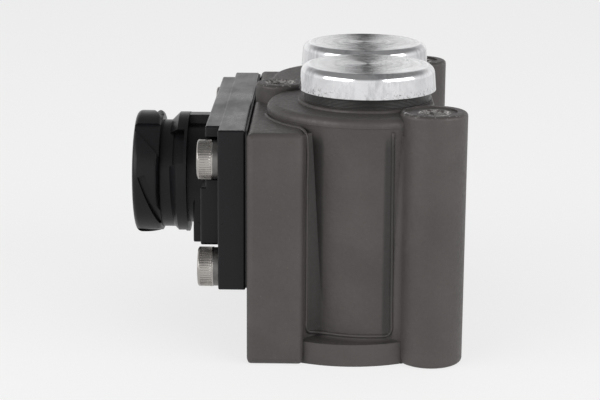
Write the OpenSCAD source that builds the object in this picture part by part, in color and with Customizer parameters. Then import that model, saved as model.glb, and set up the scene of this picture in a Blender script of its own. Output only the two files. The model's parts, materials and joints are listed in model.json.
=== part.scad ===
// Divider valve: two capped relay-piston bores side by side in one die casting,
// piloted by two solenoids under a bolted plastic housing with a round bayonet plug.
// Millimetres. The origin is the middle of the mounting face, +Z is up, the plug points to -X.

/* [Casting] */
// Height of the main block above the mounting face
block_h = 59.4; // [57:0.1:66]
// Distance of the solenoid face from the origin
face_x = 11.3; // [10.5:0.1:12]
// Width of the left columns, from the solenoid face
column_w = 14.1; // [12:0.1:16]
// Depth of the left columns, front to back
column_depth = 93; // [90:0.5:98]
// Radius on the outer edges of the casting
edge_r = 1.8; // [0.8:0.1:2.2]
// Wall of the casting around each piston bore
bore_wall = 11; // [9:0.5:13]
// Height of the shoulder above the main block
shoulder_rise = 3.4; // [2.6:0.1:5]
// How far the shoulder stands out over the bore wall
shoulder_lip = 2; // [1.5:0.1:2.6]
// Height of the band along the mounting face
band_h = 5.7; // [4:0.1:9]
// How far the band stands out over the bore wall
band_lip = 3.9; // [3:0.1:4.5]
// Radius of the bulge in the band, seen from above
band_bulge_r = 30; // [26:1:40]
// Radius where the bore walls run into the columns and bosses
corner_r = 3.5; // [2:0.1:4]
// Radius where the bore walls run into the band
band_fillet = 1.4; // [0.8:0.1:2]

/* [Mounting bolts] */
// Diameter of the three bolt holes
bolt_hole_d = 6.6; // [5.5:0.1:7.5]
// Distance between the two right bolt holes
bolt_pitch = 80; // [78:0.5:86]
// Distance of the right bolt holes from the origin
bolt_x = 34.8; // [34:0.1:38]
// Diameter of the right bosses
boss_d = 16.7; // [14:0.1:18]
// Height of the bosses above the main block
boss_rise = 4.8; // [4:0.1:7]
// Diameter of the left boss
side_boss_d = 13.2; // [12.5:0.1:15]
// Diameter of the spot face on a right boss
spot_d = 13; // [11:0.1:13.6]
// Width of the bright chamfer round a bolt hole
hole_chamfer = 0.9; // [0.4:0.1:1.2]

/* [Relay pistons] */
// Diameter of the piston bores
bore_d = 26; // [24:0.5:27]
// Distance between the two piston bores
bore_pitch = 38; // [37.5:0.1:40]
// Distance of the piston bores from the origin
bore_x = 18.8; // [18.4:0.1:20]
// Height of the bore floor above the mounting face
bore_floor = 28; // [27:0.1:29]
// Travel of a relay piston
stroke = 4; // [3:0.1:4.5]
// Room for the return spring at rest
spring_room = 8.5; // [8:0.1:9]
// Thickness of the piston head
head_h = 6.5; // [6:0.1:6.8]
// Diameter of the spool below the piston head
spool_d = 8; // [7.4:0.1:8.6]
// Outer diameter of the spool sleeve
sleeve_d = 16; // [15:0.1:16.4]
// Height of the sleeve's seat above the mounting face
sleeve_seat = 8; // [7:0.1:9]
// Height of the chamber above the piston head
chamber_h = 9; // [8:0.1:10]
// Wire of the return springs
spring_wire = 1.4; // [1:0.1:1.5]

/* [Necks and caps] */
// Wall of the neck round each bore
neck_wall = 3.4; // [3:0.1:3.8]
// Neck left in view between shoulder and cap
neck_show = 3.3; // [2.6:0.1:4.5]
// Height of a cap
cap_h = 6.4; // [6:0.1:8]
// Sheet thickness of a cap
cap_t = 0.85; // [0.6:0.05:1.2]
// Outer radius of the edge of a cap
cap_edge_r = 2.2; // [1.8:0.1:2.6]
// How much wider a cap is at its rim than at its edge
cap_flare = 0.35; // [0.1:0.05:0.5]
// Thickness of a retaining ring
clip_t = 1.2; // [0.9:0.1:1.4]

/* [Air ports] */
// Diameter of the supply port
supply_d = 9; // [7:0.5:10]
// Diameter of each delivery port
delivery_d = 9; // [8.6:0.1:9.4]
// Diameter of each exhaust port
exhaust_d = 4; // [3:0.1:4.4]
// Height of the supply gallery
gallery_z = 22.5; // [22:0.1:23]

/* [Pilot solenoids] */
// Height of the solenoid axes
pilot_z = 46; // [45.5:0.1:46.5]
// Outer diameter of a solenoid yoke
yoke_d = 20.4; // [19:0.1:21]
// Depth of the solenoid pockets in the casting
pocket_depth = 12; // [11:0.1:12.5]
// Diameter of the armatures
armature_d = 8.1; // [7:0.1:8.6]
// Travel of an armature
armature_travel = 0.9; // [0.6:0.1:1.2]

/* [Solenoid housing] */
// Height of the housing's lower edge above the mounting face
housing_z = 18.5; // [17:0.1:19.5]
// Width of the housing's flange, front to back
flange_w = 86; // [84:0.5:88]
// Thickness of the flange, with its gasket
flange_t = 7.3; // [6.5:0.1:8]
// Thickness of the gasket
gasket_t = 0.4; // [0.3:0.1:1]
// Width of the raised cover, front to back
cover_w = 73; // [71:0.5:75]
// Depth of the cover in front of the flange
cover_t = 3.5; // [3:0.1:4]
// Height of the cover's lower edge above the mounting face
cover_z = 28.4; // [27.5:0.1:29.5]
// Wall between the cover's outside and the solenoids
cover_wall = 1.8; // [1.4:0.1:2.2]
// Depth of the bulge in front of the cover
bulge_t = 1.3; // [1:0.1:2.4]
// Height of the bulge
bulge_h = 15; // [12:0.5:16]

/* [Cover screws] */
// Thread diameter of the cover screws
screw_d = 6; // [5:0.5:6]
// Length of a cover screw below its head
screw_l = 20; // [18:1:21]
// Diameter of a screw head
head_d = 10; // [9:0.1:10.4]
// Height of a screw head
screw_head_h = 4; // [3.6:0.1:5]
// Thickness of a spring washer
washer_t = 1.3; // [1:0.1:1.6]
// Distance of the screws from the front and rear edges of the flange
screw_margin = 5.5; // [5.2:0.1:6]
// Height of the upper screws
upper_screw_z = 50.9; // [50:0.1:51.5]
// Height of the lower screws
lower_screw_z = 23.1; // [22.6:0.1:23.6]

/* [Bayonet plug] */
// Height of the plug's axis
plug_z = 39.2; // [39:0.1:40]
// Distance of the plug's mouth from the origin
plug_x = 43.15; // [42:0.05:45]
// Diameter of the bayonet shell
shell_d = 33.3; // [31:0.1:34]
// Length of the bayonet shell
shell_l = 7.3; // [6.8:0.1:9]
// Diameter of the neck behind the shell
plug_neck_d = 29.2; // [28:0.1:30]
// How far the neck sits below the plug's axis
plug_neck_drop = 0.5; // [0:0.1:0.8]
// Length of the neck behind the shell
plug_neck_l = 2.3; // [1.8:0.1:3]
// Length of the collar behind the neck
collar_l = 4.8; // [4:0.1:5]
// Width of the slanting slots that lock the cable plug
slot_w = 2; // [1.4:0.1:2.6]
// Depth of the slots in the shell
slot_depth = 1.1; // [0.6:0.1:1.5]
// Depth of the slanting lead-in faces on the shell
lead_in_depth = 0.6; // [0.3:0.1:1]
// Inner diameter of the socket
socket_d = 25.2; // [23:0.1:26]
// Depth of the socket
socket_depth = 15.5; // [14:0.1:16]
// Diameter of a contact pin
pin_d = 2.5; // [2:0.1:3]
// Diameter of the circle that the pins stand on
pin_circle_d = 11; // [9:0.1:12]
// Length of a pin inside the socket
pin_l = 11; // [9:0.1:12]

/* [Clearances] */
// Radial gap between sliding or seated round pieces
fit = 0.05; // [0.03:0.01:0.08]
// Gap between a seal and its groove
seal_gap = 0.03; // [0.02:0.01:0.05]
// Gap round a solenoid in its pocket
pocket_gap = 0.3; // [0.2:0.05:0.5]

/* [Hidden] */
$fn = 96;
front = -1;
rear = 1;
eps = 0.01;

// Casting
bore_y = bore_pitch / 2;
neck_r = bore_d / 2 + neck_wall;
wall_r = bore_d / 2 + bore_wall;
shoulder_r = wall_r + shoulder_lip;
shoulder_z = block_h + shoulder_rise;
shoulder_t = shoulder_rise - 1.1;
boss_z = block_h + boss_rise;
flank_edge_r = 0.6;
flank_x = bore_x + neck_r + 0.2 + flank_edge_r;
core_y = bore_y + neck_r / 2;
column_x = column_w - face_x;
side_bolt_x = side_boss_d / 2 + 0.4 - face_x;
recess_mid_x = (column_x + bolt_x - boss_d / 2) / 2;
band_y = bore_y + wall_r + band_lip;
spot_depth = 0.4;
spot_shift = 0.8;

// Caps and what they cover
cap_z = shoulder_z + neck_show;
cap_top = cap_z + cap_h;
cap_r = neck_r + fit + cap_t;
neck_top = cap_top - cap_t;
cap_seal_section = 1.4;
cap_seal_z = cap_z + 2.4;
neck_chamfer = cap_edge_r - cap_t + 0.3;
clip_drop = 2.4;
clip_z = neck_top - clip_drop - clip_t;
clip_bite = 1.1;
clip_r = bore_d / 2 + clip_bite;
clip_inner_r = bore_d / 2 - 1.3;
clip_room = 0.05;

// Pistons, from the bore floor up
head_z = bore_floor + spring_room;
head_top = head_z + head_h;
piston_r = bore_d / 2 - fit;
piston_seal_section = 2.4;
piston_seal_z = head_z + head_h / 2;
hub_r = spool_d / 2 + 2.4;
hub_z = bore_floor + stroke + 0.3;
spool_r = spool_d / 2 - fit;
spool_z = sleeve_seat + stroke + 1;
spool_bore_r = 1.5;
vent_z = hub_z + 1.6;
spool_seal_section = 1.4;
spool_seal_low = 6;
spool_seal_high = 2;
spool_seal_zs = [spool_z + spool_seal_low, bore_floor - spool_seal_high];
plug_bottom = head_top + chamber_h;
plug_seal_section = 2;
plug_seal_rise = 6;
plug_seal_z = plug_bottom + plug_seal_rise;
plug_wall = 3;
plug_dish_r = 10;
plug_dish_floor_r = 8;
plug_dish_depth = 2;
spring_r = bore_d / 2 - 3.8;
sleeve_hole_d = 3;
sleeve_seal_section = 1.6;
sleeve_seal_low = 7;
sleeve_seal_high = 3.6;
sleeve_seal_zs = [gallery_z - sleeve_seal_low, gallery_z + sleeve_seal_high];
exhaust_x = bore_x - bore_d / 2 + exhaust_d / 2 + 0.6;

// Port seals, sunk into the mounting face
port_seal_section = 1.8;
port_seal_wall = 1.2;
port_groove_depth = port_seal_section + 2 * seal_gap;

// Solenoids, along X from the pocket floor out to the cover
pocket_x = pocket_depth - face_x;
cover_x = -(face_x + flange_t + cover_t);
yoke_x = cover_x + cover_wall;
yoke_r = yoke_d / 2;
yoke_t = 1.2;
pocket_r = yoke_r + pocket_gap;
armature_r = armature_d / 2;
tube_bore_r = armature_r + fit;
tube_r = tube_bore_r + 0.5;
nozzle_tip_x = pocket_x - 0.8;
nozzle_r = 2;
nozzle_l = 3.5;
pad_r = 2;
pad_proud = 0.4;
pad_depth = 1;
pad_gap = 0.1;
armature_x = nozzle_tip_x - pad_gap - pad_proud;
armature_l = 7.2;
core_x = armature_x - armature_l - armature_travel - 0.1;
rivet_r = 2.5;
spring_pocket_r = 2.1;
spring_pocket_l = 3;
armature_wire = 0.4;
bobbin_bore_r = tube_r + fit;
bobbin_hub_r = bobbin_bore_r + 0.9;
bobbin_r = yoke_r - yoke_t - 0.2;
bobbin_flange_t = 1;
winding_r = bobbin_r - 0.3;

// Housing
housing_top = block_h;
flange_x = -(face_x + flange_t);
seal_x = -(face_x + gasket_t);
plastic_r = 0.6;
cavity_y = bore_y + yoke_r + 1.6;
cavity_z = cover_z + 1.9;
cavity_top = pilot_z + yoke_r + 0.9;
feed_y = 8;
feed_r = 1;
feed_pocket_y = feed_y + 4;
feed_pocket_z = gallery_z - 1.6;
feed_pocket_t = 4.5;
screw_ys = [screw_margin - flange_w / 2, flange_w / 2 - screw_margin];
screw_zs = [lower_screw_z, upper_screw_z];
screw_pocket_r = head_d / 2 + 0.7;
screw_hole_l = screw_l - flange_t - washer_t + 1.5;
shell_r = shell_d / 2;
collar_d = shell_d - 0.6;
shell_end_x = shell_l - plug_x;
collar_x = shell_end_x + plug_neck_l;
collar_chamfer = 2.1;
bayonet_turns = [0, 120, 240];
slot_angle = -70.75;
slot_tilt = 19.6;
slot_from_mouth = 5.2;
slot_span = 16;
lead_in_angle = -152.5;
lead_in_mid = -127.75;
lead_in_tilt = 41.4;
lead_in_from_mouth = 4.2;
notch_w = 10;
notch_l = collar_l - 0.8;
rib_w = 4;
base_x = cover_x - 5;
base_d = collar_d - 5;
base_pad_w = 26;
base_pad_z = 22.6;
key_w = 3;
key_h = 1.3;
key_l = 11;
socket_x = socket_depth - plug_x;
pin_angles = [45, 135, 225, 315];

// Plain shapes

// Rectangle from the origin with rounded corners
module round_rect(w, h, r) {
    translate([r, 0]) square([w - 2 * r, h]);
    translate([0, r]) square([w, h - 2 * r]);
    for (x = [r, w - r], y = [r, h - r]) {
        translate([x, y]) circle(r);
    }
}

// Box between two corners with all edges rounded
module soft_box(low, high, r) {
    size = high - low;
    intersection() {
        translate(low) linear_extrude(size.z) round_rect(size.x, size.y, r);
        translate([low.x, high.y, low.z])
            rotate([90, 0, 0])
                linear_extrude(size.y) round_rect(size.x, size.z, r);
        translate(low)
            rotate([90, 0, 90])
                linear_extrude(size.x) round_rect(size.y, size.z, r);
    }
}

// Upright cylinder with rounded rims
module soft_cylinder(r, h, edge) {
    rotate_extrude() {
        intersection() {
            translate([-r, 0]) round_rect(2 * r, h, edge);
            square([r, h]);
        }
    }
}

// Tube along Z
module tube(outer_r, inner_r, h) {
    difference() {
        cylinder(r = outer_r, h = h);
        translate([0, 0, -1]) cylinder(r = inner_r, h = h + 2);
    }
}

// Seal ring whose outside has the given radius
module seal_ring(outer_r, section) {
    rotate_extrude() translate([outer_r - section / 2, 0]) circle(d = section, $fn = 32);
}

// Groove for such a ring, cut into a shaft
module seal_groove(outer_r, section) {
    h = section + 2 * seal_gap;
    translate([0, 0, -h / 2]) tube(outer_r + 5, outer_r - section - seal_gap, h);
}

// Moves a piece onto the axis of one bore
module at_bore(side) {
    translate([bore_x, side * bore_y, 0]) children();
}

// Turns a piece built along Z onto one solenoid axis, so that Z becomes X
module at_pilot(side, x) {
    translate([x, side * bore_y, pilot_z]) rotate([0, 90, 0]) children();
}

// Turns a piece built along Z onto the plug's axis
module at_plug(x) {
    translate([x, 0, plug_z]) rotate([0, 90, 0]) children();
}

// Compression spring with closed ends, as one swept wire
spring_sides = 8;
spring_steps = 20;
function spring_rise(t) = t < 0.15 ? t * t * 2.5 : t > 0.85 ? 1 - (1 - t) * (1 - t) * 2.5 :
    0.05625 + (t - 0.15) * 0.8875 / 0.7;
function spring_point(r, wire, t, turns, length, side) =
    let (turn = 360 * turns * t, bend = 360 * side / spring_sides)
    [(r + wire / 2 * cos(bend)) * cos(turn), (r + wire / 2 * cos(bend)) * sin(turn),
        wire / 2 + (length - wire) * spring_rise(t) + wire / 2 * sin(bend)];
module coil_spring(r, wire, length, turns) {
    rings = ceil(turns * spring_steps);
    points = [for (i = [0:rings], j = [0:spring_sides - 1])
        spring_point(r, wire, i / rings, turns, length, j)];
    side_faces = [for (i = [0:rings - 1], j = [0:spring_sides - 1])
        let (k = (j + 1) % spring_sides)
        [i * spring_sides + j, (i + 1) * spring_sides + j,
            (i + 1) * spring_sides + k, i * spring_sides + k]];
    first = [for (j = [0:spring_sides - 1]) j];
    last = [for (j = [spring_sides - 1:-1:0]) rings * spring_sides + j];
    polyhedron(points, concat(side_faces, [first, last]));
}

// Casting

// Wall round one piston bore with the shoulder on top, as one turned shape
module bore_tower() {
    low = shoulder_z - shoulder_t;
    rim = shoulder_r - edge_r;
    rotate_extrude() {
        square([wall_r, low + eps]);
        // Fillet from the wall out to the shoulder
        difference() {
            translate([wall_r - 1, low - shoulder_lip]) square([shoulder_lip + 1, shoulder_lip + eps]);
            translate([shoulder_r, low - shoulder_lip]) circle(shoulder_lip);
        }
        translate([0, low]) square([shoulder_r, shoulder_t - edge_r]);
        translate([0, low]) square([rim, shoulder_t]);
        translate([rim, shoulder_z - edge_r]) circle(edge_r);
        // Fillet from the wall out to the band
        difference() {
            translate([wall_r - 1, band_h - 1]) square([band_fillet + 1, band_fillet + 1]);
            translate([wall_r + band_fillet, band_h + band_fillet]) circle(band_fillet);
        }
    }
}

// Fillets from one bore wall into the column on the left and the boss on the right
module corner_fillets(side) {
    bore = [bore_x, side * bore_y];
    bolt = [bolt_x, side * bolt_pitch / 2];
    reach = wall_r + corner_r;
    left_x = column_x + corner_r;
    left_y = side * (bore_y + sqrt(reach * reach - (bore_x - left_x) * (bore_x - left_x)));
    gap = norm(bolt - bore);
    boss_reach = boss_d / 2 + corner_r;
    open_angle = acos((gap * gap + reach * reach - boss_reach * boss_reach) / (2 * gap * reach));
    angle = atan2(abs(bolt.y - bore.y), bolt.x - bore.x) + open_angle;
    right = bore + reach * [cos(angle), side * sin(angle)];
    linear_extrude(shoulder_z - shoulder_t - shoulder_lip)
    difference() {
        union() {
            polygon([[column_x - 1, left_y], [left_x, left_y], bore, [column_x - 1, bore.y]]);
            polygon([bore, right, bolt]);
        }
        translate([left_x, left_y]) circle(corner_r);
        translate(right) circle(corner_r);
    }
}

// Both towers and the wall between them, cut flat on the right
module bore_block() {
    intersection() {
        union() {
            for (side = [front, rear]) {
                at_bore(side) bore_tower();
            }
            translate([column_x - column_w / 2, -core_y, 0])
                cube([bore_x + bore_d, 2 * core_y, shoulder_z - 1]);
        }
        translate([-2 * face_x, bolt_pitch, 0])
            rotate([90, 0, 0])
                linear_extrude(2 * bolt_pitch)
                    round_rect(flank_x + 2 * face_x, shoulder_z, flank_edge_r);
    }
}

// Band along the mounting face, bulged between column and boss
module band() {
    for (side = [front, rear]) {
        intersection() {
            translate([recess_mid_x, side * (band_y - band_bulge_r), 0])
                cylinder(r = band_bulge_r, h = band_h);
            translate([column_x - 3, side * core_y - core_y, 0])
                cube([bolt_x - column_x + 3, 2 * core_y, band_h]);
        }
    }
}

module boss(d, top) {
    soft_cylinder(d / 2, top, 1);
}

module right_boss_places() {
    for (side = [front, rear]) {
        translate([bolt_x, side * bolt_pitch / 2, 0]) children();
    }
}

module bolt_hole(top) {
    translate([0, 0, -1]) cylinder(d = bolt_hole_d, h = top + 2);
    translate([0, 0, top - hole_chamfer])
        cylinder(d1 = bolt_hole_d, d2 = bolt_hole_d + 2 * hole_chamfer + 2, h = hole_chamfer + 1);
    translate([0, 0, -1]) cylinder(d1 = bolt_hole_d + 3, d2 = bolt_hole_d, h = 1.5);
}

// Neck that carries the cap, with the groove for its seal
module neck() {
    low = shoulder_z - 1;
    groove_h = cap_seal_section + 2 * seal_gap;
    groove_r = neck_r + fit - cap_seal_section - 2 * seal_gap;
    rotate_extrude() {
        polygon([[0, low], [neck_r, low], [neck_r, cap_seal_z - groove_h / 2],
            [groove_r, cap_seal_z - groove_h / 2], [groove_r, cap_seal_z + groove_h / 2],
            [neck_r, cap_seal_z + groove_h / 2], [neck_r, neck_top - neck_chamfer],
            [neck_r - neck_chamfer, neck_top], [0, neck_top]]);
    }
}

module casting() {
    half = column_depth / 2;
    soft_box([-face_x, -half, 0], [column_x, half, block_h], edge_r);
    bore_block();
    band();
    right_boss_places() boss(boss_d, boss_z);
    translate([side_bolt_x, 0, 0]) boss(side_boss_d, boss_z);
    for (side = [front, rear]) {
        at_bore(side) neck();
        corner_fillets(side);
    }
}

// One piston bore with its sleeve seat, ports and clip groove
module bore_cut() {
    translate([0, 0, bore_floor]) cylinder(d = bore_d, h = neck_top);
    translate([0, 0, sleeve_seat]) cylinder(d = sleeve_d, h = neck_top);
    translate([0, 0, -1]) cylinder(d = delivery_d, h = sleeve_seat + 2);
    translate([0, 0, clip_z - clip_room]) cylinder(r = clip_r + clip_room, h = clip_t + 2 * clip_room);
    translate([0, 0, neck_top - 0.6]) cylinder(d1 = bore_d, d2 = bore_d + 2, h = 1);
    translate([exhaust_x - bore_x, 0, -1]) cylinder(d = exhaust_d, h = bore_floor + 2);
    port_groove(delivery_d);
}

module port_groove(port_d) {
    inner_r = port_d / 2 + port_seal_wall;
    translate([0, 0, -1])
        tube(inner_r + port_seal_section + 2 * seal_gap, inner_r, port_groove_depth + 1);
}

module supply_cut() {
    translate([bore_x, 0, -1]) cylinder(d = supply_d, h = gallery_z + 1);
    translate([bore_x, 0, 0]) port_groove(supply_d);
    translate([bore_x, -bore_y, gallery_z]) rotate([-90, 0, 0]) cylinder(d = 5, h = bore_pitch);
    for (side = [front, rear]) {
        translate([-face_x - 1, side * feed_y, gallery_z])
            rotate([0, 90, 0])
                cylinder(r = feed_r, h = face_x + bore_x + 1);
    }
}

module pilot_cut(side) {
    at_pilot(side, -face_x - 1) cylinder(r = pocket_r, h = pocket_depth + 1);
    at_pilot(side, pocket_x - 1) cylinder(r = nozzle_r + fit, h = nozzle_l + 1);
    at_pilot(side, pocket_x) cylinder(r = 0.8, h = bore_x - pocket_x);
}

module valve_body() {
    color([0.345, 0.322, 0.314])
    difference() {
        casting();
        for (side = [front, rear]) {
            at_bore(side) bore_cut();
            pilot_cut(side);
        }
        supply_cut();
        right_boss_places() {
            bolt_hole(boss_z);
            translate([-spot_shift, 0, boss_z - spot_depth]) cylinder(d = spot_d, h = 2);
        }
        translate([side_bolt_x, 0, 0]) bolt_hole(boss_z);
        for (y = screw_ys, z = screw_zs) {
            translate([-face_x - 1, y, z])
                rotate([0, 90, 0])
                    cylinder(r = screw_d / 2 + fit, h = screw_hole_l + 1);
        }
    }
}

// Caps and bore closures

module cap(side) {
    color([0.82, 0.82, 0.84])
    at_bore(side)
    translate([0, 0, cap_z])
    rotate_extrude() {
        difference() {
            union() {
                intersection() {
                    translate([-cap_r, 0]) round_rect(2 * cap_r, cap_h, cap_edge_r);
                    translate([0, cap_h - cap_edge_r]) square([cap_r, cap_edge_r]);
                }
                polygon([[0, 0], [cap_r + cap_flare, 0], [cap_r, cap_h - cap_edge_r],
                    [0, cap_h - cap_edge_r]]);
            }
            intersection() {
                translate([-cap_r + cap_t, -cap_h])
                    round_rect(2 * (cap_r - cap_t), 2 * cap_h - cap_t, cap_edge_r - cap_t);
                translate([0, -1]) square([cap_r, cap_h + 1]);
            }
        }
    }
}

module cap_seal(side) {
    color([0.1, 0.1, 0.1])
    at_bore(side) translate([0, 0, cap_seal_z]) seal_ring(neck_r + fit - seal_gap, cap_seal_section);
}

module retaining_ring(side) {
    gap_angle = 20;
    lug_r = 1.9;
    color([0.35, 0.35, 0.37])
    at_bore(side)
    translate([0, 0, clip_z])
    linear_extrude(clip_t)
    difference() {
        union() {
            difference() {
                circle(clip_r);
                circle(clip_inner_r);
                polygon([[0, 0], [2 * clip_r * cos(gap_angle), 2 * clip_r * sin(gap_angle)],
                    [2 * clip_r * cos(gap_angle), -2 * clip_r * sin(gap_angle)]]);
            }
            for (turn = [-gap_angle, gap_angle]) {
                rotate(turn) translate([clip_inner_r - 0.4, sign(turn) * 1.4]) circle(lug_r);
            }
        }
        for (turn = [-gap_angle, gap_angle]) {
            rotate(turn) translate([clip_inner_r - 0.4, sign(turn) * 1.4]) circle(0.9);
        }
    }
}

module bore_plug(side) {
    color([0.2, 0.2, 0.21])
    at_bore(side)
    difference() {
        translate([0, 0, plug_bottom]) cylinder(r = bore_d / 2 - fit, h = clip_z - plug_bottom);
        translate([0, 0, plug_bottom + plug_dish_depth + plug_wall])
            cylinder(r = bore_d / 2 - plug_seal_section - plug_wall, h = clip_z);
        translate([0, 0, plug_bottom - eps])
            cylinder(r1 = plug_dish_r, r2 = plug_dish_floor_r, h = plug_dish_depth);
        translate([0, 0, plug_seal_z]) seal_groove(bore_d / 2 - seal_gap, plug_seal_section);
    }
}

module plug_seal(side) {
    color([0.1, 0.1, 0.1])
    at_bore(side) translate([0, 0, plug_seal_z]) seal_ring(bore_d / 2 - seal_gap, plug_seal_section);
}

// Relay pistons

module piston(side) {
    color([0.72, 0.73, 0.75])
    at_bore(side)
    difference() {
        union() {
            translate([0, 0, head_z]) cylinder(r = piston_r, h = head_h);
            translate([0, 0, hub_z]) cylinder(r = hub_r, h = head_z - hub_z + eps);
            translate([0, 0, spool_z]) cylinder(r = spool_r, h = hub_z - spool_z + eps);
        }
        translate([0, 0, piston_seal_z]) seal_groove(bore_d / 2 - seal_gap, piston_seal_section);
        for (z = spool_seal_zs) {
            translate([0, 0, z]) spool_groove();
        }
        translate([0, 0, spool_z - 1]) cylinder(r = spool_bore_r, h = vent_z - spool_z + 1);
        translate([-2 * hub_r, 0, vent_z]) rotate([0, 90, 0]) cylinder(r = 1.2, h = 4 * hub_r);
        translate([0, 0, head_top - 2]) cylinder(r1 = 5, r2 = 6, h = 2 + eps);
    }
}

module spool_groove() {
    h = spool_seal_section + 2 * seal_gap;
    floor_r = spool_d / 2 - 2 * seal_gap - spool_seal_section;
    translate([0, 0, -h / 2]) tube(spool_d / 2 + 1, floor_r, h);
}

module piston_seal(side) {
    color([0.1, 0.1, 0.1])
    at_bore(side) translate([0, 0, piston_seal_z]) seal_ring(bore_d / 2 - seal_gap, piston_seal_section);
}

module spool_seals(side) {
    color([0.1, 0.1, 0.1])
    at_bore(side)
    for (z = spool_seal_zs) {
        translate([0, 0, z]) seal_ring(spool_d / 2 - seal_gap, spool_seal_section);
    }
}

module return_spring(side) {
    color([0.6, 0.6, 0.62])
    at_bore(side)
    translate([0, 0, bore_floor + seal_gap])
    coil_spring(spring_r, spring_wire, spring_room - 2 * seal_gap, 3);
}

module sleeve(side) {
    color([0.78, 0.65, 0.35])
    at_bore(side)
    difference() {
        translate([0, 0, sleeve_seat]) cylinder(r = sleeve_d / 2 - fit, h = bore_floor - sleeve_seat);
        translate([0, 0, sleeve_seat - 1]) cylinder(d = spool_d, h = bore_floor);
        translate([0, 0, gallery_z - sleeve_hole_d / 2])
            tube(sleeve_d, sleeve_d / 2 - 1.2, sleeve_hole_d);
        for (turn = [30, 90, 150]) {
            translate([0, 0, gallery_z])
                rotate([0, 90, turn])
                    cylinder(d = sleeve_hole_d, h = 2 * sleeve_d, center = true);
        }
        for (z = sleeve_seal_zs) {
            translate([0, 0, z]) seal_groove(sleeve_d / 2 - seal_gap, sleeve_seal_section);
        }
    }
}

module sleeve_seals(side) {
    color([0.1, 0.1, 0.1])
    at_bore(side)
    for (z = sleeve_seal_zs) {
        translate([0, 0, z]) seal_ring(sleeve_d / 2 - seal_gap, sleeve_seal_section);
    }
}

module port_seal(port_d) {
    translate([0, 0, port_seal_section / 2 + seal_gap])
        seal_ring(port_d / 2 + port_seal_wall + seal_gap + port_seal_section, port_seal_section);
}

module port_seals() {
    color([0.1, 0.1, 0.1]) {
        translate([bore_x, 0, 0]) port_seal(supply_d);
        for (side = [front, rear]) {
            at_bore(side) port_seal(delivery_d);
        }
    }
}

// Pilot solenoids

module nozzle(side) {
    color([0.78, 0.65, 0.35])
    difference() {
        union() {
            at_pilot(side, nozzle_tip_x) cylinder(r1 = 0.9, r2 = 1.5, h = 0.4);
            at_pilot(side, nozzle_tip_x + 0.4 - eps) cylinder(r = nozzle_r + 1, h = 0.4 + eps);
            at_pilot(side, pocket_x - eps) cylinder(r = nozzle_r, h = nozzle_l);
        }
        at_pilot(side, nozzle_tip_x - 1) cylinder(r = 0.5, h = nozzle_l + 3);
    }
}

module armature(side) {
    color([0.55, 0.56, 0.58])
    difference() {
        at_pilot(side, armature_x - armature_l) cylinder(r = armature_r, h = armature_l);
        at_pilot(side, armature_x - pad_depth) cylinder(r = pad_r + fit, h = pad_depth + 1);
        at_pilot(side, armature_x - armature_l - 1) cylinder(r = spring_pocket_r, h = spring_pocket_l + 1);
        for (turn = [0, 120, 240]) {
            at_pilot(side, armature_x - armature_l - 1)
                rotate(turn)
                    translate([armature_r, 0, 0])
                        cylinder(r = 0.6, h = armature_l + 2);
        }
    }
}

module armature_pad(side) {
    color([0.12, 0.12, 0.12])
    at_pilot(side, armature_x - pad_depth) cylinder(r = pad_r, h = pad_depth + pad_proud);
}

module armature_spring(side) {
    length = 2 * spring_pocket_l + armature_travel + 0.1 - 2 * seal_gap;
    color([0.7, 0.7, 0.72])
    at_pilot(side, core_x - spring_pocket_l + seal_gap)
    coil_spring(spring_pocket_r - armature_wire / 2 - 0.2, armature_wire, length, 6);
}

module core(side) {
    color([0.5, 0.5, 0.52])
    difference() {
        union() {
            at_pilot(side, yoke_x + yoke_t) cylinder(r = armature_r, h = core_x - yoke_x - yoke_t);
            at_pilot(side, yoke_x) cylinder(r = rivet_r - fit, h = yoke_t + eps);
        }
        at_pilot(side, core_x - spring_pocket_l) cylinder(r = spring_pocket_r, h = spring_pocket_l + 1);
    }
}

module guide_tube(side) {
    color([0.75, 0.76, 0.78])
    at_pilot(side, yoke_x + yoke_t) tube(tube_r, tube_bore_r, pocket_x - yoke_x - yoke_t);
}

module bobbin(side) {
    length = pocket_x - yoke_x - yoke_t - 0.9;
    color([0.86, 0.84, 0.78])
    at_pilot(side, yoke_x + yoke_t)
    difference() {
        union() {
            cylinder(r = bobbin_hub_r, h = length);
            cylinder(r = bobbin_r, h = bobbin_flange_t);
            translate([0, 0, length - bobbin_flange_t]) cylinder(r = bobbin_r, h = bobbin_flange_t);
        }
        translate([0, 0, -1]) cylinder(r = bobbin_bore_r, h = length + 2);
    }
}

module winding(side) {
    length = pocket_x - yoke_x - yoke_t - 0.9 - 2 * bobbin_flange_t;
    color([0.72, 0.38, 0.2])
    at_pilot(side, yoke_x + yoke_t + bobbin_flange_t)
    tube(winding_r, bobbin_hub_r + seal_gap, length);
}

module yoke(side) {
    color([0.6, 0.61, 0.63])
    at_pilot(side, yoke_x)
    difference() {
        cylinder(r = yoke_r, h = pocket_x - yoke_x);
        translate([0, 0, yoke_t]) cylinder(r = yoke_r - yoke_t, h = pocket_x - yoke_x);
        translate([0, 0, -1]) cylinder(r = rivet_r, h = yoke_t + 2);
    }
}

// Solenoid housing

module screw_places(x) {
    for (y = screw_ys, z = screw_zs) {
        translate([x, y, z]) rotate([0, 90, 0]) children();
    }
}

// Round shell with three slanting slots and lead-in faces for the cable plug's ring
module bayonet_shell() {
    difference() {
        soft_cylinder(shell_r, shell_l, 1.4);
        for (turn = bayonet_turns) {
            rotate(turn) {
                lock_slot();
                lead_in();
            }
        }
    }
}

module lock_slot() {
    difference() {
        rotate(slot_angle)
            translate([0, 0, slot_from_mouth])
                rotate([slot_tilt, 0, 0])
                    translate([shell_r / 2, -slot_span / 2, -slot_w / 2]) cube([shell_r, slot_span, slot_w]);
        translate([0, 0, -1]) cylinder(r = shell_r - slot_depth, h = 2 * shell_l);
    }
}

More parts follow.
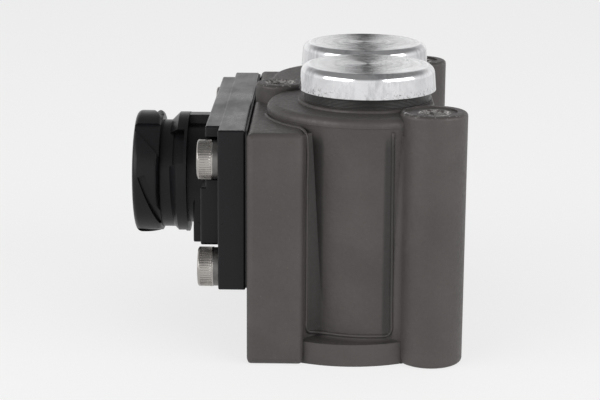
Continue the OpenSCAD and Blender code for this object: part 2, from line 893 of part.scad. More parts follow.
module lead_in() {
    difference() {
        rotate(lead_in_angle) translate([0, 0, -1]) cube([shell_d, shell_r, 2 * shell_l]);
        rotate(lead_in_mid)
            translate([0, 0, lead_in_from_mouth])
                rotate([lead_in_tilt, 0, 0])
                    translate([-shell_d, -shell_d, -shell_d]) cube([2 * shell_d, 2 * shell_d, shell_d]);
        translate([0, 0, -2]) cylinder(r = shell_r - lead_in_depth, h = 2 * shell_l + 2);
    }
}

// Collar behind the neck, notched for the lugs of the cable plug's ring
module collar() {
    difference() {
        rotate_extrude()
            polygon([[0, 0], [collar_d / 2 - collar_chamfer, 0], [collar_d / 2, collar_chamfer],
                [collar_d / 2, collar_l], [0, collar_l]]);
        for (turn = bayonet_turns) {
            difference() {
                rotate(turn + lead_in_mid)
                    translate([0, -notch_w / 2, -1])
                        cube([shell_r, notch_w, notch_l + 1]);
                translate([0, 0, -2]) cylinder(d = plug_neck_d - 1.6, h = collar_l + 2);
            }
        }
    }
}

module plug_shell() {
    at_plug(-plug_x) bayonet_shell();
    at_plug(shell_end_x - 2) translate([plug_neck_drop, 0, 0]) cylinder(d = plug_neck_d, h = plug_neck_l + 3);
    at_plug(collar_x) collar();
    at_plug(collar_x + 1) cylinder(d = base_d, h = cover_x - collar_x);
    soft_box([base_x, -base_pad_w / 2, base_pad_z],
        [cover_x + cover_t / 2, base_pad_w / 2, plug_z], plastic_r);
    translate([collar_x + notch_l, -rib_w / 2, plug_z])
        cube([cover_x + 1 - collar_x - notch_l, rib_w, collar_d / 2 - 0.2]);
}

module housing_shape() {
    half = flange_w / 2;
    cover_half = cover_w / 2;
    soft_box([flange_x, -half, housing_z], [seal_x, half, housing_top], plastic_r);
    difference() {
        soft_box([cover_x, -cover_half, cover_z], [flange_x + 2, cover_half, housing_top - 0.2], plastic_r);
        for (y = screw_ys) {
            translate([cover_x - 1, y, upper_screw_z])
                rotate([0, 90, 0])
                    cylinder(r = screw_pocket_r, h = cover_t + 1);
        }
    }
    soft_box([cover_x - bulge_t, -cover_half, cover_z],
        [cover_x + 2, cover_half, cover_z + bulge_h], plastic_r);
    plug_shell();
}

module solenoid_housing() {
    depth = seal_x - yoke_x;
    color([0.15, 0.15, 0.15])
    difference() {
        housing_shape();
        translate([yoke_x, -cavity_y, cavity_z]) cube([depth + 1, 2 * cavity_y, cavity_top - cavity_z]);
        translate([seal_x - feed_pocket_t, -feed_pocket_y, feed_pocket_z])
            cube([feed_pocket_t + 1, 2 * feed_pocket_y, cavity_z - feed_pocket_z + 1]);
        screw_places(flange_x - 1) cylinder(r = screw_d / 2 + 0.3, h = flange_t + 2);
        difference() {
            at_plug(-plug_x - 1) cylinder(d = socket_d, h = socket_depth + 1);
            translate([socket_x - key_l, -key_w / 2, plug_z + socket_d / 2 - key_h])
                cube([key_l + 1, key_w, 2 * key_h]);
        }
        for (turn = pin_angles) {
            at_plug(socket_x - 1)
                rotate(turn)
                    translate([pin_circle_d / 2, 0, 0])
                        cylinder(r = pin_d / 2 + fit, h = yoke_x - socket_x + 2);
        }
    }
}

module contact_pins() {
    tip = 0.5;
    color([0.8, 0.76, 0.6])
    for (turn = pin_angles) {
        at_plug(socket_x - pin_l)
            rotate(turn)
                translate([pin_circle_d / 2, 0, 0]) {
                    cylinder(r1 = pin_d / 2 - tip, r2 = pin_d / 2, h = tip);
                    translate([0, 0, tip]) cylinder(d = pin_d, h = yoke_x - socket_x + pin_l - tip + 1.5);
                }
    }
}

module housing_gasket() {
    margin = 0.2;
    half = flange_w / 2 - margin;
    low = housing_z + margin;
    color([0.08, 0.08, 0.08])
    translate([seal_x, 0, 0])
    rotate([90, 0, 90])
    linear_extrude(gasket_t)
    difference() {
        translate([-half, low]) round_rect(2 * half, housing_top - margin - low, 1.5);
        translate([-cavity_y, cavity_z]) square([2 * cavity_y, cavity_top - cavity_z]);
        translate([-feed_pocket_y, feed_pocket_z])
            square([2 * feed_pocket_y, cavity_z - feed_pocket_z + 1]);
        for (y = screw_ys, z = screw_zs) {
            translate([y, z]) circle(screw_d / 2 + 0.3);
        }
    }
}

module housing_screws() {
    rim = 0.5;
    seat = flange_x - washer_t;
    color([0.75, 0.74, 0.72])
    screw_places(seat - screw_head_h)
    difference() {
        union() {
            cylinder(d1 = head_d - 2 * rim, d2 = head_d, h = rim);
            translate([0, 0, rim]) cylinder(d = head_d, h = screw_head_h - rim);
            translate([0, 0, screw_head_h - eps]) cylinder(d = screw_d, h = screw_l);
        }
        translate([0, 0, -1]) cylinder(d = 4 / cos(30), h = screw_head_h * 0.6 + 1, $fn = 6);
    }
}

module spring_washers() {
    split = 0.8;
    color([0.62, 0.62, 0.6])
    screw_places(flange_x - washer_t)
    difference() {
        tube(head_d / 2 - 0.1, screw_d / 2 + 0.15, washer_t);
        translate([0, -split / 2, -1]) cube([head_d, split, washer_t + 2]);
    }
}

valve_body();
cap(front);  // front_cap
cap(rear);  // rear_cap
cap_seal(front);  // front_cap_seal
cap_seal(rear);  // rear_cap_seal
retaining_ring(front);  // front_retaining_ring
retaining_ring(rear);  // rear_retaining_ring
bore_plug(front);  // front_bore_plug
bore_plug(rear);  // rear_bore_plug
plug_seal(front);  // front_plug_seal
plug_seal(rear);  // rear_plug_seal
piston(front);  // front_piston
piston(rear);  // rear_piston
piston_seal(front);  // front_piston_seal
piston_seal(rear);  // rear_piston_seal
spool_seals(front);  // front_spool_seals
spool_seals(rear);  // rear_spool_seals
return_spring(front);  // front_return_spring
return_spring(rear);  // rear_return_spring
sleeve(front);  // front_sleeve
sleeve(rear);  // rear_sleeve
sleeve_seals(front);  // front_sleeve_seals
sleeve_seals(rear);  // rear_sleeve_seals
port_seals();
nozzle(front);  // front_nozzle
nozzle(rear);  // rear_nozzle
armature(front);  // front_armature
armature(rear);  // rear_armature
armature_pad(front);  // front_armature_pad
armature_pad(rear);  // rear_armature_pad
armature_spring(front);  // front_armature_spring
armature_spring(rear);  // rear_armature_spring
core(front);  // front_core
core(rear);  // rear_core
guide_tube(front);  // front_guide_tube
guide_tube(rear);  // rear_guide_tube
bobbin(front);  // front_bobbin
bobbin(rear);  // rear_bobbin
winding(front);  // front_winding
winding(rear);  // rear_winding
yoke(front);  // front_yoke
yoke(rear);  // rear_yoke
solenoid_housing();
housing_gasket();
housing_screws();
spring_washers();
contact_pins();
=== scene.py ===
# Divider valve: the finish of its casting, caps, plastics and hardware, on a pale studio floor

import json
import math

import bpy
from mathutils import Matrix, Vector


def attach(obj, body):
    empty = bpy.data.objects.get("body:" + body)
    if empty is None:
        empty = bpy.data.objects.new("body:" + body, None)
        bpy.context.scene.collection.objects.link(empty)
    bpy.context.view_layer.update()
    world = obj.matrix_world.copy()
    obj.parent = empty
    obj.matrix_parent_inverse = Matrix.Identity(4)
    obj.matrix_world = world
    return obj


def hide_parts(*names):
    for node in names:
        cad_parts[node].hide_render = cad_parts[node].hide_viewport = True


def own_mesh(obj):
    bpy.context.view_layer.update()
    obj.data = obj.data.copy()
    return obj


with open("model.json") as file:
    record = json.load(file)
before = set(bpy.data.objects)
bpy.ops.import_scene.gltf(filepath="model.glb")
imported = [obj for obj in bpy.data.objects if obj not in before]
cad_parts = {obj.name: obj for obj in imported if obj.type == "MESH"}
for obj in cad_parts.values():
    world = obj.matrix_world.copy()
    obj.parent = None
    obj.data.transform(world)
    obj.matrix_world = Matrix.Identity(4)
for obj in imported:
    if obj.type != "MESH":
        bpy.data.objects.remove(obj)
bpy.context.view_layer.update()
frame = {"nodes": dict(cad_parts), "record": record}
nodes = frame["nodes"]

MM = 0.001

# Places that the casting and the hardware share with the solids
BORE_X = 18.8 * MM
BORE_Y = 19.0 * MM
BOLT_X = 34.8 * MM
BOLT_Y = 40.0 * MM
BOSS_R = 8.35 * MM
SIDE_BOLT_X = -4.3 * MM
SIDE_BOSS_R = 6.6 * MM
BOSS_TOP = 64.2 * MM
HOLE_R = 3.3 * MM
SHOULDER_TOP = 62.8 * MM
CAP_FOOT = 66.1 * MM
CAP_TOP = 72.5 * MM
SCREW_SEAT_X = -19.9 * MM
SCREW_Y = 37.5 * MM
UPPER_SCREW_Z = 50.9 * MM
LOWER_SCREW_Z = 23.1 * MM
HEAD_R = 5.0 * MM
HEAD_H = 4.0 * MM
SHANK_R = 3.0 * MM
SHANK_L = 20.0 * MM


# Shader maths as plain expressions


class Socket:
    """A node output that adds its own Math nodes when it is used in an expression."""

    def __init__(self, graph, output):
        self.graph = graph
        self.output = output

    def math(self, operation, *others):
        return self.graph.node("ShaderNodeMath", {"operation": operation}, [self, *others])

    def __add__(self, other):
        return self.math("ADD", other)

    def __radd__(self, other):
        return self.math("ADD", other)

    def __sub__(self, other):
        return self.math("SUBTRACT", other)

    def __rsub__(self, other):
        return self.graph.node("ShaderNodeMath", {"operation": "SUBTRACT"}, [other, self])

    def __mul__(self, other):
        return self.math("MULTIPLY", other)

    def __rmul__(self, other):
        return self.math("MULTIPLY", other)

    def __truediv__(self, other):
        return self.math("DIVIDE", other)

    def __abs__(self):
        return self.math("ABSOLUTE")

    def most(self, other):
        return self.math("MAXIMUM", other)

    def root(self):
        return self.math("SQRT")

    def sign(self):
        return self.math("SIGN")

    def wave(self, pitch):
        """Sine wave with one crest in each pitch."""
        return (self * (math.tau / pitch)).math("SINE")


def from_axis(across, along):
    """How far a point is from an axis, from its two coordinates about that axis."""
    return (across * across + along * along).root()


class Graph:
    """The node tree of one material or of the world, filled by short calls."""

    def __init__(self, tree):
        self.tree = tree

    def node(self, kind, settings=None, inputs=(), output=0):
        made = self.tree.nodes.new(kind)
        for key, value in (settings or {}).items():
            setattr(made, key, value)
        pairs = inputs.items() if isinstance(inputs, dict) else enumerate(inputs)
        for key, value in pairs:
            self.feed(made.inputs[key], value)
        return Socket(self, made.outputs[output])

    def feed(self, socket, value):
        if isinstance(value, Socket):
            self.tree.links.new(value.output, socket)
        else:
            socket.default_value = value

    def ramp(self, value, low, high, from_value=0.0, to_value=1.0):
        """Smooth step from one value to another between two limits."""
        return self.node("ShaderNodeMapRange", {"interpolation_type": "SMOOTHSTEP"}, {
            "Value": value, "From Min": low, "From Max": high, "To Min": from_value, "To Max": to_value})

    def fall(self, value, low, high):
        """1 below the lower limit, fading to 0 at the upper one."""
        return self.ramp(value, low, high, 1.0, 0.0)

    def inside(self, value, low, high, soft):
        """1 between two limits, fading to 0 over a soft edge."""
        return self.ramp(value, low - soft, low) * self.fall(value, high, high + soft)

    def mix(self, factor, first, second):
        made = self.tree.nodes.new("ShaderNodeMix")
        made.data_type = "RGBA"
        self.feed(made.inputs[0], factor)
        for key, value in ((6, first), (7, second)):
            self.feed(made.inputs[key], value if isinstance(value, Socket) else (*value, 1))
        return Socket(self, made.outputs[2])


class Finish(Graph):
    """One material with a Principled surface."""

    def __init__(self, name, colour, roughness, metallic=0.0, **constants):
        self.material = bpy.data.materials.new(name)
        self.material.use_nodes = True
        super().__init__(self.material.node_tree)
        self.surface = self.tree.nodes["Principled BSDF"]
        self.surface.inputs["Base Color"].default_value = (*colour, 1)
        self.surface.inputs["Roughness"].default_value = roughness
        self.surface.inputs["Metallic"].default_value = metallic
        for socket, value in constants.items():
            self.surface.inputs[socket.replace("_", " ")].default_value = value
        self.place = self.node("ShaderNodeTexCoord", output="Object")
        parts = self.tree.nodes.new("ShaderNodeSeparateXYZ")
        self.tree.links.new(self.place.output, parts.inputs[0])
        self.x, self.y, self.z = [Socket(self, out) for out in parts.outputs]

    def set(self, name, value):
        self.feed(self.surface.inputs[name], value)

    def noise(self, scale, detail=3.0, roughness=0.55, stretch=(1, 1, 1)):
        place = self.place
        if stretch != (1, 1, 1):
            place = self.node("ShaderNodeMapping", {}, {"Vector": place, "Scale": stretch})
        return self.node("ShaderNodeTexNoise", {}, {
            "Vector": place, "Scale": scale, "Detail": detail, "Roughness": roughness})

    def bump(self, height, distance, normal=None):
        """Relief of the surface; the height is in units of the distance."""
        inputs = {"Distance": distance, "Height": height}
        if normal:
            inputs["Normal"] = normal
        self.set("Normal", self.node("ShaderNodeBump", {}, inputs))


# Tones of the casting, from its skin to bare metal, with painted shade for the necks under the caps and for
# the grooves
SKIN_DARK = (0.071, 0.0635, 0.061)
SKIN_PALE = (0.089, 0.08, 0.077)
SKIN_FLOW = (0.064, 0.058, 0.057)
SKIN_SPECK = (0.155, 0.142, 0.134)
PAINTED_NECK_SHADE = (0.014, 0.0135, 0.013)
PAINTED_GROOVE_SHADE = (0.024, 0.022, 0.021)
BARE_TONE = (0.62, 0.6, 0.58)

# Bare bands round the bolts: the chamfer of the hole and the rubbed rim of the boss, near the top only
CHAMFER_INSIDE = 0.4 * MM
CHAMFER_OUTSIDE = 0.75 * MM
RIM_START = 1.0 * MM
RIM_END = 0.25 * MM
BAND_FADE = 0.2 * MM
BARE_ABOVE = (BOSS_TOP - 2.0 * MM, BOSS_TOP - 1.5 * MM)

# Turned necks and milled foot, with the pitch of their tool marks
NECK_ABOVE = (SHOULDER_TOP + 0.7 * MM, SHOULDER_TOP + 0.8 * MM)
NECK_WITHIN = (16.8 * MM, 17.0 * MM)
NECK_PITCH = 0.35 * MM
FOOT_BELOW = (0.02 * MM, 0.06 * MM)
FOOT_PITCH = 0.9 * MM
FOOT_ARC_OFFSET = 60 * MM
SKIN_RELIEF = 0.07 * MM

# Painted shade on the front and back, in the grooves beside the column and beside the right boss
COLUMN_GROOVE = (4.7 * MM, 6.9 * MM, 1.1 * MM)
BOSS_GROOVE = (23.2 * MM, 24.5 * MM, 1.0 * MM)
GROOVE_HEIGHTS = (9.5 * MM, 55.0 * MM, 5.0 * MM)
GROOVE_BEYOND = (37 * MM, 38.5 * MM)


def cast_metal():
    """Dark die casting: sand-like skin, milled foot, turned necks, bare chamfers at the bolts; painted shade
    under the caps and in the grooves.
    """
    skin = Finish("cast_metal", (0.086, 0.076, 0.072), 0.5, 0.25)
    blotch = skin.ramp(skin.noise(55.0, 4.0, 0.6), 0.35, 0.7)
    grain = skin.noise(1100.0, 3.0, 0.6)
    flow = skin.noise(160.0, 4.0, 0.6, (1, 1, 0.3))
    speck = skin.ramp(skin.noise(2400.0, 2.0), 0.66, 0.8)
    right_bolt = from_axis(skin.x - BOLT_X, abs(skin.y) - BOLT_Y)
    side_bolt = from_axis(skin.x - SIDE_BOLT_X, skin.y)
    bore = from_axis(skin.x - BORE_X, abs(skin.y) - BORE_Y)
    near_top = skin.ramp(skin.z, *BARE_ABOVE)
    ragged = skin.ramp(skin.noise(900.0, 4.0, 0.7), 0.4, 0.62)
    hole_band = (HOLE_R - CHAMFER_INSIDE, HOLE_R + CHAMFER_OUTSIDE, BAND_FADE)
    chamfer = skin.inside(right_bolt, *hole_band).most(skin.inside(side_bolt, *hole_band))
    rubbed = skin.ramp(skin.noise(1300.0, 3.0, 0.65), 0.58, 0.66)
    rim = skin.inside(right_bolt, BOSS_R - RIM_START, BOSS_R - RIM_END, BAND_FADE)
    rim = rim.most(skin.inside(side_bolt, SIDE_BOSS_R - RIM_START, SIDE_BOSS_R - RIM_END, BAND_FADE))
    bare = (chamfer * ragged).most(rim * rubbed * 0.8) * near_top
    # The turned necks also take a darker tone, which is painted shade under the caps
    neck = skin.ramp(skin.z, *NECK_ABOVE) * skin.fall(bore, *NECK_WITHIN)
    foot = skin.fall(skin.z, *FOOT_BELOW)
    milled = from_axis(skin.x + FOOT_ARC_OFFSET, skin.y)
    lines = skin.z.wave(NECK_PITCH) * neck + milled.wave(FOOT_PITCH) * foot
    # Painted shade: a darker tone in the grooves beside the column and the right boss, on the front and back
    beside = skin.inside(skin.x, *COLUMN_GROOVE).most(skin.inside(skin.x, *BOSS_GROOVE))
    recess = skin.inside(skin.z, *GROOVE_HEIGHTS) * skin.ramp(abs(skin.y), *GROOVE_BEYOND)
    tone = skin.mix(blotch, SKIN_DARK, SKIN_PALE)
    # Random flow and specks, painted shade on the necks and in the grooves, then bare metal at the bolts
    layers = (
        (flow * 0.35, SKIN_FLOW), (speck * 0.45, SKIN_SPECK), (neck * 0.85, PAINTED_NECK_SHADE),
        (beside * recess * 0.75, PAINTED_GROOVE_SHADE), (bare, BARE_TONE))
    for share, shade in layers:
        tone = skin.mix(share, tone, shade)
    skin.set("Base Color", tone)
    skin.set("Metallic", bare * 0.7 + 0.25)
    skin.set("Roughness", skin.ramp(grain, 0.3, 0.7, 0.44, 0.6) - bare * 0.2 - (neck + foot) * 0.1)
    skin.bump((grain + blotch * 1.5) * (1 - neck) * (1 - foot) + lines * 0.3, SKIN_RELIEF)
    return skin.material


# Tones of the caps, and the turning marks on their flats: fine grooves, and rings wide enough to see
SHEET_DARK = (0.68, 0.68, 0.695)
SHEET_PALE = (0.76, 0.76, 0.775)
SMEAR_TONE = (0.36, 0.36, 0.38)
DIRT_TONE = (0.1, 0.1, 0.1)
FLAT_ABOVE = (CAP_TOP - 0.12 * MM, CAP_TOP - 0.04 * MM)
DIRT_BELOW = (CAP_FOOT + 0.3 * MM, CAP_FOOT + 2.6 * MM)
GROOVE_PITCHES = (0.083 * MM, 0.131 * MM)
RING_PITCHES = (1.3 * MM, 3.1 * MM)
GROOVE_TILT = 0.05
RING_TILT = 0.012
SHEET_RELIEF = 0.03 * MM


def cap_metal():
    """Polished pressed sheet: turning marks round each axis on the flat, smears and dirt on the skirt."""
    sheet = Finish("cap_metal", (0.7, 0.7, 0.715), 0.14, 1.0)
    radius = from_axis(sheet.x - BORE_X, abs(sheet.y) - BORE_Y)
    flat = sheet.ramp(sheet.z, *FLAT_ABOVE)
    fine = radius.wave(GROOVE_PITCHES[0]) + radius.wave(GROOVE_PITCHES[1])
    rings = radius.wave(RING_PITCHES[0]) + radius.wave(RING_PITCHES[1])
    tilt = (fine * GROOVE_TILT + rings * RING_TILT) * flat / radius
    outward = sheet.node("ShaderNodeCombineXYZ", {}, {
        "X": (sheet.x - BORE_X) * tilt, "Y": (abs(sheet.y) - BORE_Y) * sheet.y.sign() * tilt})
    turned = sheet.node("ShaderNodeVectorMath", {"operation": "ADD"}, [
        sheet.node("ShaderNodeNewGeometry", output="Normal"), outward])
    mottle = sheet.noise(380.0, 4.0, 0.65)
    dents = sheet.noise(120.0, 2.0, 0.5)
    low = sheet.fall(sheet.z, *DIRT_BELOW)
    crumbs = sheet.ramp(sheet.noise(1500.0, 4.0, 0.7), 0.52, 0.62)
    dirt = crumbs * sheet.ramp(sheet.noise(90.0, 3.0, 0.6), 0.42, 0.56) * low
    smear = sheet.ramp(sheet.noise(170.0, 4.0, 0.7, (1, 1, 0.35)), 0.42, 0.66) * (1 - flat)
    tone = sheet.mix(sheet.ramp(dents, 0.35, 0.65), SHEET_DARK, SHEET_PALE)
    tone = sheet.mix(smear * 0.6, tone, SMEAR_TONE)
    sheet.set("Base Color", sheet.mix(dirt * 0.85, tone, DIRT_TONE))
    sheet.set("Roughness", sheet.ramp(mottle, 0.3, 0.7, 0.08, 0.18) + smear * 0.1 + dirt * 0.3)
    sheet.bump((mottle + dents * 6.0) * 0.4 * (1 - flat), SHEET_RELIEF, normal=turned)
    return sheet.material


RESIN_DARK = (0.006, 0.006, 0.007)
RESIN_PALE = (0.011, 0.0105, 0.012)
FIBRE_TONE = (0.06, 0.06, 0.062)
RESIN_RELIEF = 0.03 * MM


def black_plastic():
    """Black moulding: satin, with faint flow streaks and fine pale fibres."""
    resin = Finish("black_plastic", (0.008, 0.008, 0.009), 0.36, 0.0, Specular_IOR_Level=0.22)
    grain = resin.noise(1500.0, 3.0, 0.6)
    smear = resin.noise(48.0, 3.0, 0.6)
    streak = resin.noise(300.0, 3.0, 0.6, (1, 0.25, 1))
    tone = resin.mix(smear, RESIN_DARK, RESIN_PALE)
    fibre = resin.ramp(resin.noise(2600.0, 2.0), 0.68, 0.8)
    resin.set("Base Color", resin.mix(fibre * 0.3, tone, FIBRE_TONE))
    resin.set("Roughness", resin.ramp(smear * 0.6 + streak * 0.4, 0.3, 0.7, 0.24, 0.4))
    resin.bump(grain + streak * 0.8, RESIN_RELIEF)
    return resin.material


FINE_RELIEF = 0.02 * MM


def worked_metal(name, colour, roughness, grain_scale=700.0, scratch=(1, 1, 1)):
    """Plated or turned metal with an uneven polish and faint stains."""
    metal = Finish(name, colour, roughness, 1.0)
    polish = metal.noise(grain_scale, 3.0, 0.6, scratch)
    stain = metal.ramp(metal.noise(260.0, 3.0, 0.6), 0.42, 0.68)
    dull = tuple(channel * 0.72 for channel in colour)
    metal.set("Base Color", metal.mix(stain * 0.7, colour, dull))
    metal.set("Roughness", metal.ramp(polish, 0.3, 0.7, roughness * 0.75, roughness * 1.3))
    metal.bump(polish, FINE_RELIEF)
    return metal.material


def moulded(name, colour, roughness):
    """Plain rubber or plastic with a fine grain."""
    resin = Finish(name, colour, roughness)
    grain = resin.noise(1200.0, 3.0, 0.6)
    cloud = resin.noise(90.0, 3.0, 0.6)
    darker = tuple(channel * 0.8 for channel in colour)
    resin.set("Base Color", resin.mix(cloud, darker, colour))
    resin.set("Roughness", resin.ramp(grain, 0.3, 0.7, roughness * 0.85, roughness * 1.15))
    resin.bump(grain, FINE_RELIEF)
    return resin.material


# Colour and roughness of each plain moulding and each metal; the screws add their own coarse scratches
MOULDINGS = {
    "dark_plastic": ((0.03, 0.03, 0.032), 0.5),
    "pale_plastic": ((0.62, 0.58, 0.48), 0.5),
    "seal_rubber": ((0.014, 0.014, 0.014), 0.6),
}
METALS = {
    "screw_steel": ((0.42, 0.4, 0.38), 0.24, 300.0, (3, 1, 1)),
    "washer_steel": ((0.17, 0.165, 0.16), 0.4),
    "spring_steel": ((0.4, 0.4, 0.41), 0.3),
    "thin_steel": ((0.55, 0.56, 0.58), 0.25),
    "soft_iron": ((0.5, 0.51, 0.53), 0.35),
    "turned_aluminium": ((0.7, 0.71, 0.73), 0.3),
    "brass_parts": ((0.62, 0.44, 0.17), 0.3),
    "copper_wire": ((0.5, 0.17, 0.07), 0.35),
    "pin_metal": ((0.7, 0.62, 0.42), 0.25),
}

FINISHES = {"cast_body": cast_metal(), "cap_metal": cap_metal(), "black_plastic": black_plastic()}
FINISHES.update({name: moulded(name, *values) for name, values in MOULDINGS.items()})
FINISHES.update({name: worked_metal(name, *values) for name, values in METALS.items()})


def dress_nodes():
    for part in frame["record"]["subparts"]:
        for slot in nodes[part["node"]].material_slots:
            slot.material = FINISHES[part["material_slot"]]


# Steps that the new pieces share

MERGE_WITHIN = 0.001 * MM
SMOOTH_BELOW = math.radians(35)


def pick_only(piece):
    bpy.ops.object.select_all(action="DESELECT")
    piece.select_set(True)
    bpy.context.view_layer.objects.active = piece


def merge_all():
    """Goes into edit mode and merges the doubles of the whole piece."""
    bpy.ops.object.mode_set(mode="EDIT")
    bpy.ops.mesh.select_all(action="SELECT")
    bpy.ops.mesh.remove_doubles(threshold=MERGE_WITHIN)


def finish_piece(piece, finish):
    """Gives a piece its finish and lets it move with the housing."""
    piece.data.materials.clear()
    piece.data.materials.append(FINISHES[finish])
    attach(piece, "housing")


# Casting skin: the drafted walls, the foot of each neck and the rounded rim of each recess

# Radius and height in millimetres about the bore: first up the wall to the shoulder, then round the step
WALL_DRAFT = [
    (23.0, 13.0), (24.0, 14.0), (24.25, 26.0), (24.6, 38.0), (25.0, 48.0), (25.35, 55.0), (25.65, 58.6),
    (25.93, 60.4), (23.0, 60.4)]
NECK_FOOT = [(16.2, 62.7), (18.1, 62.7), (18.0, 63.25), (17.75, 63.45), (16.2, 63.5)]
RING_STEPS = 144
FLANK_X = 35.4 * MM


def turned_ring(name, axis_y, profile):
    """Closed ring about a bore, drawn from circle to circle along its profile and cut off at the flank."""
    bpy.ops.object.select_all(action="DESELECT")
    radius, height = profile[0]
    bpy.ops.mesh.primitive_circle_add(
        vertices=RING_STEPS, radius=radius * MM, location=(BORE_X, axis_y, height * MM))
    ring = bpy.context.object
    ring.name = name
    bpy.ops.object.transform_apply(location=True, rotation=True, scale=True)
    bpy.ops.object.mode_set(mode="EDIT")
    bpy.ops.mesh.select_all(action="SELECT")
    for next_radius, next_height in profile[1:] + profile[:1]:
        share = next_radius / radius
        bpy.ops.mesh.extrude_region_move(
            TRANSFORM_OT_translate={"value": (0, 0, (next_height - height) * MM)})
        bpy.ops.transform.resize(
            value=(share, share, 1), center_override=(BORE_X, axis_y, next_height * MM))
        radius, height = next_radius, next_height
    merge_all()
    bpy.ops.mesh.normals_make_consistent(inside=False)
    bpy.ops.mesh.bisect(plane_co=(FLANK_X, 0, 0), plane_no=(1, 0, 0), use_fill=True, clear_outer=True)
    bpy.ops.object.mode_set(mode="OBJECT")
    bpy.ops.object.shade_smooth_by_angle(angle=SMOOTH_BELOW)
    return ring


def wall_radius(height):
    """Radius of the drafted wall at a height, both in millimetres."""
    drawn = WALL_DRAFT[1:-1]
    if height <= drawn[0][1]:
        return drawn[0][0]
    for (low_r, low), (high_r, high) in zip(drawn, drawn[1:]):
        if height <= high:
            return low_r + (high_r - low_r) * (height - low) / (high - low)
    return drawn[-1][0]


# Route of the rim in millimetres: radii about the bore, heights, and its run up beside the boss
RIM_OVER_R = 26.3
RIM_OVER_Z = 59.4
RIM_FOOT_R = 24.15
RIM_FOOT_Z = 6.8
RIM_EDGE_X = 3.55
RIM_EDGE_Y = -41.35
BOSS_SIDE = 6.3
BOSS_SIDE_LEAN = 0.01
BOSS_SIDE_FROM = 8.4
BOSS_SIDE_LEAST = 23.4
BEAD_R = 0.45 * MM


def round_bore(radius, degrees, height):
    """Point at a radius round the front bore, turned from the front towards the connector."""
    turn = math.radians(degrees)
    return (BORE_X / MM - radius * math.sin(turn), -BORE_Y / MM - radius * math.cos(turn), height)


def rim_path():
    """Rim of the front recess: over the column, down its edge, along the foot and up beside the boss."""
    over = [round_bore(RIM_OVER_R, turn, RIM_OVER_Z) for turn in (84, 74, 64, 54, 46)]
    edge = [(2.5, -40.5, 59.2), (3.3, -41.3, 58.0)]
    edge += [(RIM_EDGE_X, RIM_EDGE_Y, height) for height in (56.0, 45.0, 33.0, 20.0, 10.5, 8.6)]
    foot = [(4.1, -40.95, 7.3), (5.6, -40.4, 6.9)]
    foot += [round_bore(RIM_FOOT_R, turn, RIM_FOOT_Z) for turn in (24, 18, 12, 6, 0, -6, -11)]
    rise = [(24.5, -42.4, 7.1)]
    for height in (BOSS_SIDE_FROM, 10.5, 20.0, 33.0, 45.0, 55.0, 59.5):
        across = BOSS_SIDE - BOSS_SIDE_LEAN * (height - BOSS_SIDE_FROM)
        depth = math.sqrt(wall_radius(height) ** 2 - across ** 2)
        rise.append((BORE_X / MM + across, -BORE_Y / MM - max(depth, BOSS_SIDE_LEAST), height))
    return over + edge + foot + rise


def recess_rim(name, side):
    """Rounded rim of one recess, a bead half sunk in the casting."""
    bpy.ops.object.select_all(action="DESELECT")
    bpy.ops.curve.primitive_bezier_curve_add(location=(0, 0, 0))
    bead = bpy.context.object
    bead.name = name
    curve = bead.data
    curve.splines.remove(curve.splines[0])
    line = curve.splines.new("BEZIER")
    places = rim_path()
    line.bezier_points.add(len(places) - 1)
    for point, (x, y, z) in zip(line.bezier_points, places):
        point.co = (x * MM, y * MM * -side, z * MM)
        point.handle_left_type = "AUTO"
        point.handle_right_type = "AUTO"
    curve.resolution_u = 6
    curve.bevel_depth = BEAD_R
    curve.bevel_resolution = 3
    curve.use_fill_caps = True
    bpy.ops.object.convert(target="MESH")
    bead = bpy.context.object
    merge_all()
    bpy.ops.mesh.normals_make_consistent(inside=False)
    bpy.ops.object.mode_set(mode="OBJECT")
    bpy.ops.object.shade_smooth()
    return bead


def skin_casting():
    for name, side in (("front", -1), ("rear", 1)):
        axis_y = side * BORE_Y
        finish_piece(turned_ring(f"{name}_drafted_wall", axis_y, WALL_DRAFT), "cast_body")
        finish_piece(turned_ring(f"{name}_neck_foot", axis_y, NECK_FOOT), "cast_body")
        finish_piece(recess_rim(f"{name}_recess_rim", side), "cast_body")


# Cover screws with knurled heads, modelled once and copied

HEAD_FACE_X = -HEAD_H
HEAD_SIDES = 96
ALONG_X = (0, math.pi / 2, 0)
KNURL_FROM = HEAD_FACE_X + 0.7 * MM
KNURL_TO = -0.45 * MM
KNURL_DEPTH = 0.17 * MM
RIM_WIDTH = 0.35 * MM
RIM_DROP = 0.3 * MM
KEY_R = 2.31 * MM
KEY_DEPTH = 2.4 * MM
EDGE_ROUND = 0.06 * MM
EDGE_ABOVE = math.radians(40)

# How near a vertex or face lies to the place that it is picked by
FACE_NEAR = 0.01 * MM
EDGE_NEAR = 0.05 * MM
SEAT_NEAR = 0.1 * MM


def pick_faces(piece, test):
    """Selects the faces whose centre and normal pass the test, and goes into edit mode."""
    bpy.ops.object.mode_set(mode="EDIT")
    bpy.ops.mesh.select_mode(type="FACE")
    bpy.ops.mesh.select_all(action="DESELECT")
    bpy.ops.object.mode_set(mode="OBJECT")
    for face in piece.data.polygons:
        face.select = test(face.center, face.normal)
    bpy.ops.object.mode_set(mode="EDIT")


def screw_head():
    """Head along X with its seat at the origin, and two cuts round it that bound the knurl."""
    bpy.ops.object.select_all(action="DESELECT")
    bpy.ops.mesh.primitive_cylinder_add(
        vertices=HEAD_SIDES, radius=HEAD_R, depth=HEAD_H, location=(HEAD_FACE_X / 2, 0, 0), rotation=ALONG_X)
    screw = bpy.context.object
    bpy.ops.object.transform_apply(location=True, rotation=True, scale=True)
    bpy.ops.object.mode_set(mode="EDIT")
    for cut in (KNURL_FROM, KNURL_TO):
        bpy.ops.mesh.select_all(action="SELECT")
        bpy.ops.mesh.bisect(plane_co=(cut, 0, 0), plane_no=(1, 0, 0))
    bpy.ops.object.mode_set(mode="OBJECT")
    return screw


